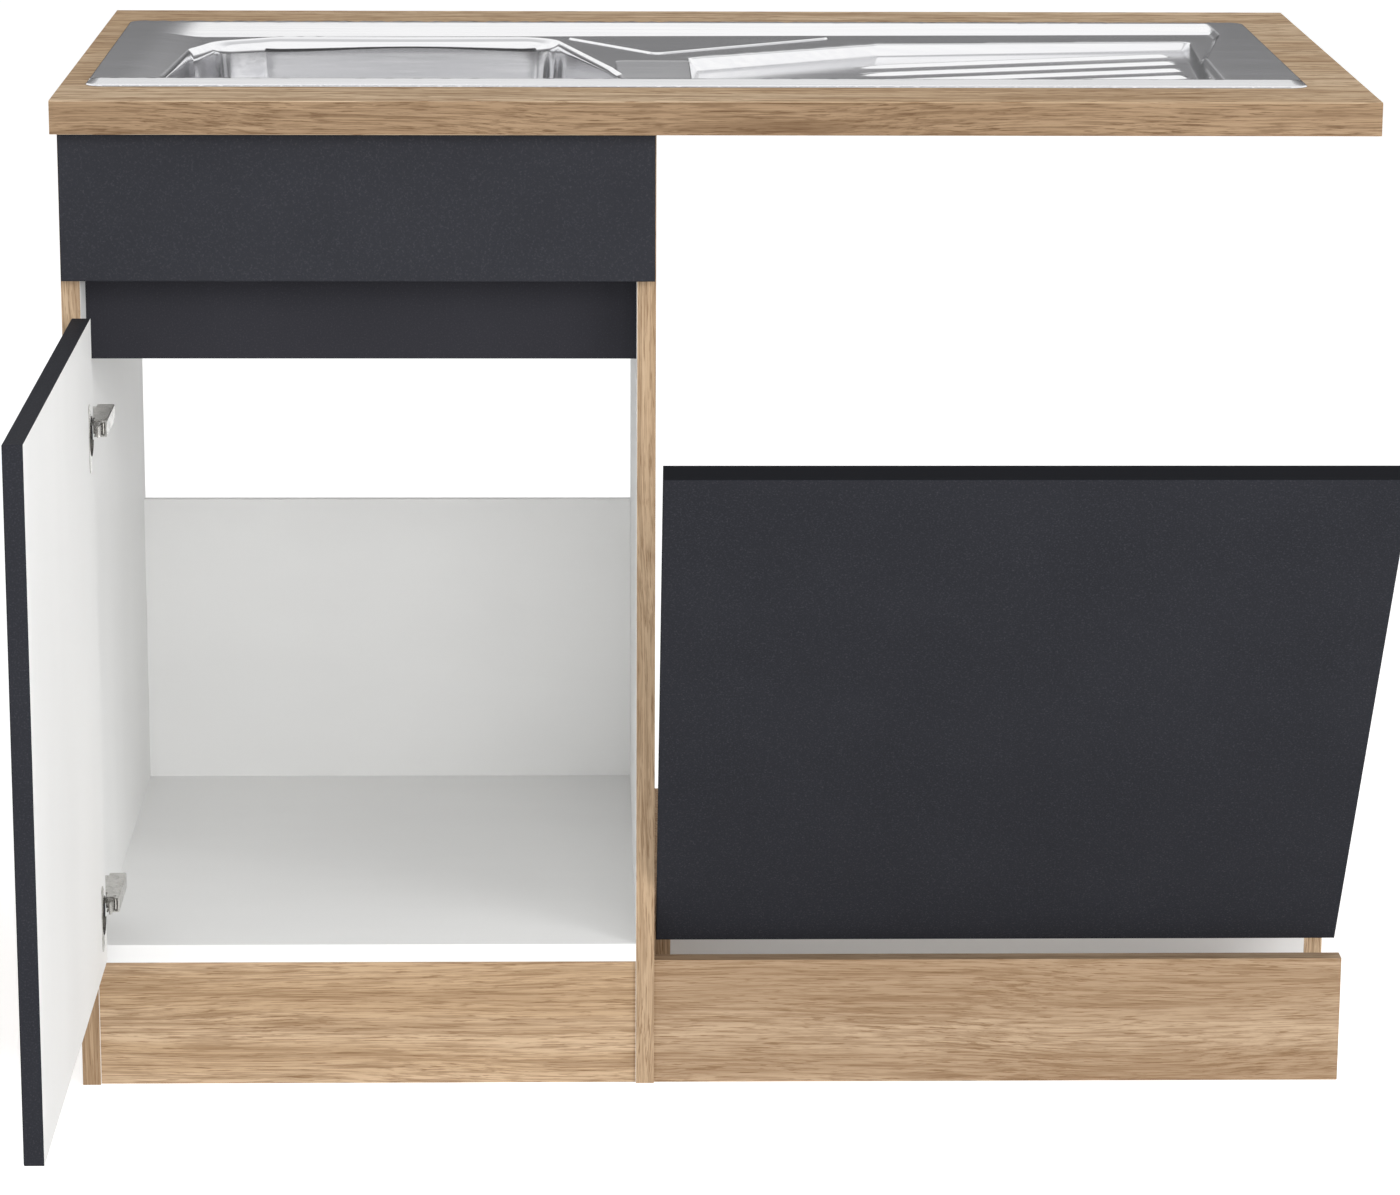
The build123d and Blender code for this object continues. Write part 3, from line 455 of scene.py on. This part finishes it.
def ease(t, bend=0.3):
    """A slope from 0 to 1 with a bend at each end."""
    t = np.clip(t, 0, 1)
    low = t ** 2 / (2 * bend * (1 - bend))
    high = 1 - (1 - t) ** 2 / (2 * bend * (1 - bend))
    return np.where(t < bend, low, np.where(t > 1 - bend, high, (t - bend / 2) / (1 - bend)))


def fold_y(x):
    """Where the ledge at the back meets the recessed part."""
    return FOLD_FROM[1] + (x - FOLD_FROM[0]) * FOLD_RISE / FOLD_RUN


def sheet_height(at):
    """The upper face of the sheet over plan places outside the bowl."""
    x, y = at.T
    margin = -away(at, rim, RIM_R)
    roll = np.sqrt(1 - (1 - np.clip(margin / EDGE_ROLL, 0, 1)) ** 2)
    z = DECK - EDGE_DROP + EDGE_DROP * roll

    from_end = np.minimum(x - RIM_LEFT, RIM_RIGHT - x)
    ends = np.clip((from_end - CREST_END_GAP) / CREST_END_RISE, 0, 1)
    crest = np.where(y < CREST_TOP, (y - CREST_FOOT) / (CREST_TOP - CREST_FOOT),
                     1 - ease((y - CREST_TOP) / CREST_FALL))
    z = z + CREST_HEIGHT * ends * np.clip(crest, 0, 1)

    up_ledge = ease((y - fold_y(x)) / (LEDGE_BACK - fold_y(x)), LEDGE_BEND)
    ledge = RECESS + (DECK - LEDGE_STEP - RECESS) * up_ledge
    run_out = ease((x - RUN_OUT_FROM) / RUN_OUT_LENGTH, RUN_OUT_BEND)
    z = z + ease(-away(at, recess, RECESS_R) / RECESS_SLOPE) * run_out * (ledge - z)

    step = -away(at, tap_bank, BANK_R)
    sharp = BANK_SHARES[0] * ease(step / BANK_STEPS[0])
    soft = BANK_SHARES[1] * ease((step - BANK_STEPS[0]) / BANK_STEPS[1])
    z = np.maximum(z, z + (sharp + soft) * (BANK_TOP - z))

    spill = SPILL_LEVEL + SPILL_FALL * (y - SPILL_BACK)
    z = z + ease(-away(at, spillway, SPILL_R) / SPILL_SLOPE) * (np.minimum(z, spill) - z)

    floor = ease(-away(at, drainer, DRAIN_R) / DRAIN_WALL, DRAIN_BEND)
    z = z + floor * (np.minimum(z, DRAIN_LOW + DRAIN_RISE * (x - DRAIN_LEFT)) - z)
    for start in rib_starts:
        off = at - np.array(start)
        u, v = off @ rib_along, off @ rib_across
        swell = np.cos(np.clip(v / RIB_HALF, -1, 1) * math.pi / 2) ** 2
        length = ease((u + RIB_LEAD) / RIB_SWELL) * ease((RIB_LENGTH - u) / RIB_END)
        z = z + RIB_HEIGHT * swell * length * (floor >= 1)
    return z


def facing(at):
    """Upright directions of the sheet's upper face over plan places."""
    reach = 0.3
    dx, dy = np.array((reach, 0)), np.array((0, reach))
    slope_x = (sheet_height(at + dx) - sheet_height(at - dx)) / (2 * reach)
    slope_y = (sheet_height(at + dy) - sheet_height(at - dy)) / (2 * reach)
    up = np.stack([-slope_x, -slope_y, np.ones(len(at))], 1)
    return up / np.linalg.norm(up, axis=1, keepdims=True)


def bowl_ring(by, radius):
    """The bowl's outline moved in, with one point for each point of its mouth."""
    return softened(inset(bowl, by), radius, ARC_STEPS, SIDE_STEPS)


# The bowl runs down in loops of as many points: rolled mouth, wall, floor, waste.
# The roll is a little flatter at the middle of the back.
mouth = softened(bowl, BOWL_R, ARC_STEPS, SIDE_STEPS)
wall_top = bowl_ring(roll_widths, TOP_R)
wall_foot = bowl_ring([width + DRAFT for width in roll_widths], FOOT_R)
floor_rim = bowl_ring([width + FLOOR_INSET for width in roll_widths], FLOOR_R)
mouth_z = sheet_height(mouth)
flatter = np.exp(-((mouth[:, 0] - FLATTER_AT) / FLATTER_WIDTH) ** 2)
flatter = flatter * (mouth[:, 1] > FLATTER_BEHIND)
roll_z = np.hypot(*(wall_top - mouth).T) - FLATTER_BY * flatter
foot_z = DECK - FOOT_DEPTH
turns = [math.pi / 2 * step / ROLL_STEPS for step in range(ROLL_STEPS + 1)]
loops = [(mouth + (wall_top - mouth) * math.sin(t), mouth_z - roll_z * (1 - math.cos(t)))
         for t in turns]
wall_z = loops[-1][1]
for share in (0.15, 0.4, 0.7, 1):
    loops.append((wall_top + (wall_foot - wall_top) * share, wall_z + (foot_z - wall_z) * share))
for t in turns[1:]:
    loops.append((wall_foot + (floor_rim - wall_foot) * (1 - math.cos(t)),
                  foot_z - FLOOR_BEND * math.sin(t)))
spokes = floor_rim - waste
spokes = spokes / np.linalg.norm(spokes, axis=1, keepdims=True)
for share in (0.1, 0.4, 0.7, 1):
    loops.append((floor_rim + (waste + FLAT_R * spokes - floor_rim) * share,
                  DECK - FLOOR_DEPTH - share))
for radius, z in waste_seat:
    loops.append((waste + radius * spokes, z))
bowl_grid = np.array([np.column_stack([at, np.broadcast_to(z, len(at))]) for at, z in loops])
down = np.gradient(bowl_grid, axis=0)
around = np.roll(bowl_grid, -1, axis=1) - np.roll(bowl_grid, 1, axis=1)
bowl_up = np.cross(around, down)
bowl_up /= np.linalg.norm(bowl_up, axis=2, keepdims=True)
bowl_up *= np.sign(bowl_up[-1, 0, 2])
bowl_up[0] = facing(mouth)

# The rest of the sheet follows its folds in close lines, with a loose grid between.
# Each family of lines comes with the least gap that its points keep. Lines round an
# outline are given by their distances in from it.
GRID_STEP = 8
CORNER_STEPS = 8
SHARPEST = 1.5
MOUTH_GAP, MOUTH_SLACK = 1.2, 0.05
WITHIN = 1e-3
folds = [(0.3, [softened(inset(rim, by), RIM_R - by, CORNER_STEPS, 60)
                for by in (0, 0.12, 0.4, 0.8, 1.6, 3)])]
folds.append((0.5, [np.array([(x, y) for x in range(RIM_LEFT + 2, RIM_RIGHT - 1, GRID_STEP)])
                    for y in (84, 87, 95, 104, 112, 115, 117, 118.5, 120, 122, 124)]))
for outline, radius, steps, run in (
        (recess, RECESS_R, (0, 1.2, 2.4, 3.5, 4.6, 5.8, 7, 8.2), 34),
        (drainer, DRAIN_R, (0, 1, 2, 4, 6, 7.6, 9, 10.2), 44),
        (spillway, SPILL_R, (0, 1, 2, 3, 4), 20),
        (tap_bank, BANK_R, (-1, 0, 0.4, 0.9, 1.6, 2.4, 3.4), 30)):
    folds.append((0.6, [softened(inset(outline, by), max(radius - by, SHARPEST),
                                 CORNER_STEPS, run) for by in steps]))
run_x = np.arange(60, 1020, 9)
ledge_run = LEDGE_BACK - fold_y(run_x)
folds.append((1.2, [np.stack([run_x, fold_y(run_x) + share * ledge_run], 1)
                    for share in (-0.05, 0, 0.025, 0.05, 0.1, 0.5, 0.9, 0.95, 0.975, 1, 1.04)]))
run_u = np.arange(-RIB_LEAD - 2, RIB_LENGTH + 3, 4)[:, None]
folds.append((1.2, [np.array(start) + run_u * rib_along + v * rib_across
                    for start in rib_starts for v in range(-RIB_HALF - 1, RIB_HALF + 2, 2)]))
grid = np.meshgrid(np.arange(RIM_LEFT + 3, RIM_RIGHT - 1, GRID_STEP),
                   np.arange(RIM_FRONT + 3, RIM_BACK - 1, GRID_STEP))
folds.append((3.0, [np.stack(grid, -1).reshape(-1, 2).astype(float)]))

points = [tuple(one) for one in mouth]
for gap, lines in folds:
    near = {(round(x / gap) + i, round(y / gap) + j)
            for x, y in points for i in (-1, 0, 1) for j in (-1, 0, 1)}
    for line in lines:
        free = (away(line, bowl, BOWL_R) > MOUTH_GAP) & (away(line, rim, RIM_R) < WITHIN)
        points += [(x, y) for x, y in line[free] if (round(x / gap), round(y / gap)) not in near]
hole = [(index, (index + 1) % len(mouth)) for index in range(len(mouth))]
plan, _, triangles, *_ = delaunay_2d_cdt([Vector(one) for one in points], hole, [], 0, 1e-5)
plan, triangles = np.array(plan), np.array(triangles)
triangles = triangles[away(plan[triangles].mean(axis=1), bowl, BOWL_R) > -MOUTH_SLACK]

# Both faces of the sheet, joined round its outer edge and round the waste's hole.
count = len(mouth)
upper = np.vstack([np.column_stack([plan, sheet_height(plan)]), bowl_grid[1:].reshape(-1, 3)])
up = np.vstack([facing(plan), bowl_up[1:].reshape(-1, 3)])
up[:count] = bowl_up[0]
rings = [list(range(count))]
for index in range(len(loops) - 1):
    rings.append([len(plan) + index * count + step for step in range(count)])
faces = [tuple(face) for face in triangles]
for ring, lower in zip(rings, rings[1:]):
    for step in range(count):
        after = (step + 1) % count
        faces.append((ring[step], ring[after], lower[after], lower[step]))
faces_up = []
for face in faces:
    a, b, c = (upper[index] for index in face[:3])
    outward = up[face[0]] + up[face[1]] + up[face[2]]
    faces_up.append(face if np.dot(np.cross(b - a, c - a), outward) > 0 else face[::-1])
sides = {(a, b) for face in faces_up for a, b in zip(face, face[1:] + face[:1])}
border = [(a, b) for a, b in sides if (b, a) not in sides]
under = len(upper)
faces_all = faces_up + [tuple(under + index for index in face[::-1]) for face in faces_up]
faces_all += [(b, a, under + a, under + b) for a, b in border]
both = np.vstack([upper, upper - SHEET * up])
sheet = bpy.data.meshes.new("sink_sheet")
sheet.from_pydata([here(*one) for one in both], [], faces_all)
sheet.validate()
sheet.update()
sheet.polygons.foreach_set("use_smooth", [True] * len(sheet.polygons))
sink = bpy.data.objects.new("sink_sheet", sheet)
bpy.context.collection.objects.link(sink)
sheet.normals_split_custom_set_from_vertices([tuple(one) for one in np.vstack([up, -up])])
sheet.materials.append(bright)
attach(sink, "cabinet")
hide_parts("sink_top")

foam, tree, surface = finish("seal_foam")
cells = wire(tree, "ShaderNodeTexVoronoi", Vector=own_place(tree), Scale=1400).outputs[0]
colour = ramp(tree, cells, [(0, srgb(58, 58, 60)), (1, srgb(92, 92, 94))])
tree.links.new(colour, surface.inputs["Base Color"])
surface.inputs["Roughness"].default_value = 0.9
dressed("sink_seal", foam)


# ---- Waste ---------------------------------------------------------------------
# The strainer waste in the bowl's floor: a bright cup and lift-out basket above, a
# rubber ring and a pale plastic nut below.


def moulded(name, dark, light, scale, detail, rough):
    """Rubber or plastic with a faint mottle."""
    made, tree, surface = finish(name)
    fine = noise(tree, own_place(tree), scale, detail)
    tree.links.new(ramp(tree, fine, [(0.3, dark), (0.7, light)]), surface.inputs["Base Color"])
    surface.inputs["Roughness"].default_value = rough
    return made


dressed("waste_cup", bright)
dressed("strainer_basket", bright)
dressed("waste_gasket", moulded("black_rubber", dark=srgb(30, 30, 31), light=srgb(44, 44, 45),
                                scale=300, detail=4, rough=0.75))
dressed("waste_nut", moulded("waste_plastic", dark=srgb(206, 206, 202), light=srgb(220, 220, 216),
                             scale=220, detail=3, rough=0.45))


# ---- Fixed front ---------------------------------------------------------------
# The false drawer front before the bowl: a board in anthracite foil with a white
# back, held by steel angles behind it.

FRONT_BACK = 36


def front_foil(name, normal, place, base=srgb(46, 47, 52), painted_top_shade=None):
    """Anthracite on the face and edges, white foil on the back, and an optional darker top band
    of painted shade.
    """
    made, tree, surface = finish(name)
    colour, speck = anthracite_colour(tree, base, fleck=srgb(68, 69, 75))
    # Painted shade: a near-black band along the top edge.
    if painted_top_shade:
        colour = mixed(tree, inside_of(tree, *painted_top_shade), colour, srgb(28, 29, 32))
    back, grain = white_colour(tree, "z")
    inner = inside_of(tree, normal, place)
    lay(tree, surface, mixed(tree, inner, colour, back), rough=0.6, specular=0.03,
        relief=mixed(tree, inner, speck, grain), depth=0.2)
    return made


dressed("fixed_front", front_foil("fixed_front_foil", (0, 1, 0), here(0, FRONT_BACK, 0),
                                  base=srgb(50, 51, 56)))


# ---- Door ----------------------------------------------------------------------
# The cabinet's door stands open at a right angle: anthracite outside, white inside,
# bored for two cup hinges.

DOOR_INNER = 28
dressed("door", front_foil("door_foil", (1, 0, 0), here(DOOR_INNER, 0, 0)))


# ---- Hinges --------------------------------------------------------------------
# Two nickel-plated cup hinges: plate and arm screwed to the left side panel, a cup
# pressed into the door, and a link on pins between them.

nickel = steel("nickel_plating", light=srgb(214, 212, 208), dark=srgb(188, 186, 182),
               rough=0.24, streaks=(120, 120, 120), depth=0.12)
for end in ("upper", "lower"):
    for piece in ("plate", "cup", "arm", "link"):
        dressed(f"{end}_hinge_{piece}", nickel)
for name in ("hinge_pins", "hinge_plate_screws", "hinge_cup_screws"):
    dressed(name, nickel)


# ---- Appliance front -----------------------------------------------------------
# The panel that dresses the appliance's door: a board in anthracite with a white back,
# tilted forward by 31.5 degrees about its pivots. A darker band along its top edge is painted
# shade.

TILT = math.radians(31.5)
PIVOT_Y, PIVOT_Z = 46.2, 209.3
# How far down from the top edge the painted shade reaches, in metres.
TOP_SHADE_DEPTH = 0.0006
lean = (0, math.cos(TILT), math.sin(TILT))
rise = Vector((0, -math.sin(TILT), math.cos(TILT)))
back = here(0, PIVOT_Y + (FRONT_BACK - PIVOT_Y) * math.cos(TILT),
            PIVOT_Z + (FRONT_BACK - PIVOT_Y) * math.sin(TILT))
top = max((place.co for place in node["appliance_front"].data.vertices), key=rise.dot)
dressed("appliance_front", front_foil("appliance_front_foil", lean, back, base=srgb(45, 46, 51),
                                      painted_top_shade=(rise, top - TOP_SHADE_DEPTH * rise)))


# ---- Floor, light and camera ---------------------------------------------------
# A pale sweep under soft studio light, seen through a long lens from a little above
# the worktop.

# In metres, and in degrees as seen from the sink.
FLOOR_SIZE = 60
DECK_LEVEL = 0.87
RING_RADIUS, RING_TOP, RING_STEPS = 9, 12.4, 96
BEHIND_RADIUS, BEHIND_TOP, BEHIND_STEP, BEHIND_STEPS = 8.5, 26, 2.5, 20

# How bright the floor glows to the camera, and the sky on the part.
PALE_GLOW = 0.55

# The camera: pixels across the photo and in its focal length, then millimetres and
# radians.
SENSOR_WIDTH = 36
PHOTO_WIDTH, FOCAL_LENGTH = 1400, 4774.8
CAMERA_PLACE = (438.3, -3911.8, 1428.0)
CAMERA_TURN, CAMERA_DOWN, CAMERA_ROLL = -0.02528, 0.24559, 0.00521


def looked_at(tree, path):
    """1 for what the camera sees, straight, through glass or in metal, else 0."""
    straight = maths(tree, "MAXIMUM", path["Is Camera Ray"], path["Is Transmission Ray"])
    return maths(tree, "MAXIMUM", straight, path["Is Glossy Ray"])


bpy.ops.mesh.primitive_plane_add(size=FLOOR_SIZE, location=(0, 0, 0))
floor = bpy.context.object
floor.name = "studio_floor"
made, tree, surface = finish("studio_white")
surface.inputs["Base Color"].default_value = grey(0.85)
surface.inputs["Roughness"].default_value = 0.9
surface.inputs["Specular IOR Level"].default_value = 0.1
surface.inputs["Emission Color"].default_value = grey(1)
seen = looked_at(tree, wire(tree, "ShaderNodeLightPath").outputs)
tree.links.new(maths(tree, "MULTIPLY", seen, PALE_GLOW), surface.inputs["Emission Strength"])
floor.data.materials.append(made)

# Low grey walls far round the studio, which show only in bright metal: one ring, and
# a taller dark piece inside it behind the camera.


def studio_wall(name, radius, top, turns, stops):
    """An upright band of emission round the part, shaded by its height."""
    height = DECK_LEVEL + radius * math.tan(math.radians(top))
    places = [(radius * math.cos(turn), radius * math.sin(turn), z)
              for turn in turns for z in (0, height)]
    mesh = bpy.data.meshes.new(name)
    mesh.from_pydata(places, [], [(i, i + 1, i + 3, i + 2) for i in range(0, len(places) - 2, 2)])
    wall = bpy.data.objects.new(name, mesh)
    bpy.context.collection.objects.link(wall)
    made, tree, _ = finish(name + "_grey")
    level = wire(tree, "ShaderNodeSeparateXYZ", Vector=own_place(tree)).outputs["Z"]
    level = wire(tree, "ShaderNodeMapRange", Value=level, i1=0, i2=height).outputs[0]
    shade = ramp(tree, level, [(place, (tone, tone, tone * 1.02, 1)) for place, tone in stops],
                 smooth=False)
    glow = wire(tree, "ShaderNodeEmission", Color=shade, Strength=1.0)
    tree.links.new(glow.outputs[0], tree.nodes["Material Output"].inputs["Surface"])
    mesh.materials.append(made)
    wall.visible_camera = False
    wall.visible_diffuse = False
    wall.visible_shadow = False


round_turns = [2 * math.pi * step / RING_STEPS for step in range(RING_STEPS + 1)]
studio_wall("studio_ring", RING_RADIUS, RING_TOP, round_turns,
            [(0, 0.04), (0.5, 0.1), (0.74, 0.195), (0.9, 0.32), (1, 0.6)])
behind_turns = [-math.pi / 2 + math.radians(BEHIND_STEP * step)
                for step in range(-BEHIND_STEPS, BEHIND_STEPS + 1)]
studio_wall("studio_behind", BEHIND_RADIUS, BEHIND_TOP, behind_turns,
            [(0, 0.3), (0.3, 0.12), (0.6, 0.04), (1, 0.07)])

# The sky lights the part evenly, is white to the camera, and is greyer to bright metal
# overhead and behind the part.
world = bpy.data.worlds.new("studio")
bpy.context.scene.world = world
world.use_nodes = True
tree = world.node_tree
sky = tree.nodes["Background"]
path = wire(tree, "ShaderNodeLightPath").outputs
strength = wire(tree, "ShaderNodeMix", i0=looked_at(tree, path), i2=PALE_GLOW, i3=1.0).outputs[0]
tree.links.new(strength, sky.inputs["Strength"])
aimed = wire(tree, "ShaderNodeTexCoord").outputs["Generated"]
parts = wire(tree, "ShaderNodeSeparateXYZ", Vector=aimed).outputs
overhead = ramp(tree, parts["Z"], [(0.58, grey(1)), (0.95, (0.62, 0.62, 0.63, 1))])
overhead = mixed(tree, mask(tree, parts["Y"], 0, 0.15), grey(1), overhead)
sky_colour = mixed(tree, path["Is Glossy Ray"], grey(1), overhead)
tree.links.new(sky_colour, sky.inputs["Color"])


def lamp(name, at, aim, size, power):
    """A softbox that looks at a point and doesn't show in bright metal."""
    data = bpy.data.lights.new(name, "AREA")
    data.shape = "RECTANGLE"
    data.size, data.size_y = size
    data.energy = power
    made = bpy.data.objects.new(name, data)
    bpy.context.collection.objects.link(made)
    made.location = at
    made.rotation_euler = (Vector(aim) - Vector(at)).to_track_quat("-Z", "Y").to_euler()
    made.visible_glossy = False


lamp("softbox_front", at=(0.3, -4.7, 2.0), aim=(-0.1, 0, 0.4), size=(2.6, 2.4), power=80)
lamp("softbox_right", at=(3.2, -3.5, 1.9), aim=(-0.2, 0, 0.4), size=(2.4, 2.4), power=105)
lamp("softbox_left", at=(-2.4, -4.2, 2.0), aim=(0, 0, 0.4), size=(2.2, 2.2), power=20)
lamp("softbox_top", at=(0.2, -0.6, 3.6), aim=(0, 0, 0.4), size=(3.0, 2.0), power=12)

camera_data = bpy.data.cameras.new("camera")
camera_data.sensor_width = SENSOR_WIDTH
camera_data.lens = FOCAL_LENGTH / PHOTO_WIDTH * SENSOR_WIDTH
camera = bpy.data.objects.new("camera", camera_data)
bpy.context.collection.objects.link(camera)
turn = (Matrix.Rotation(CAMERA_TURN, 4, "Z")
        @ Matrix.Rotation(math.pi / 2 - CAMERA_DOWN, 4, "X")
        @ Matrix.Rotation(CAMERA_ROLL, 4, "Z"))
camera.matrix_world = Matrix.Translation(here(*CAMERA_PLACE)) @ turn
bpy.context.scene.camera = camera

view = bpy.context.scene.view_settings
view.view_transform = "Standard"
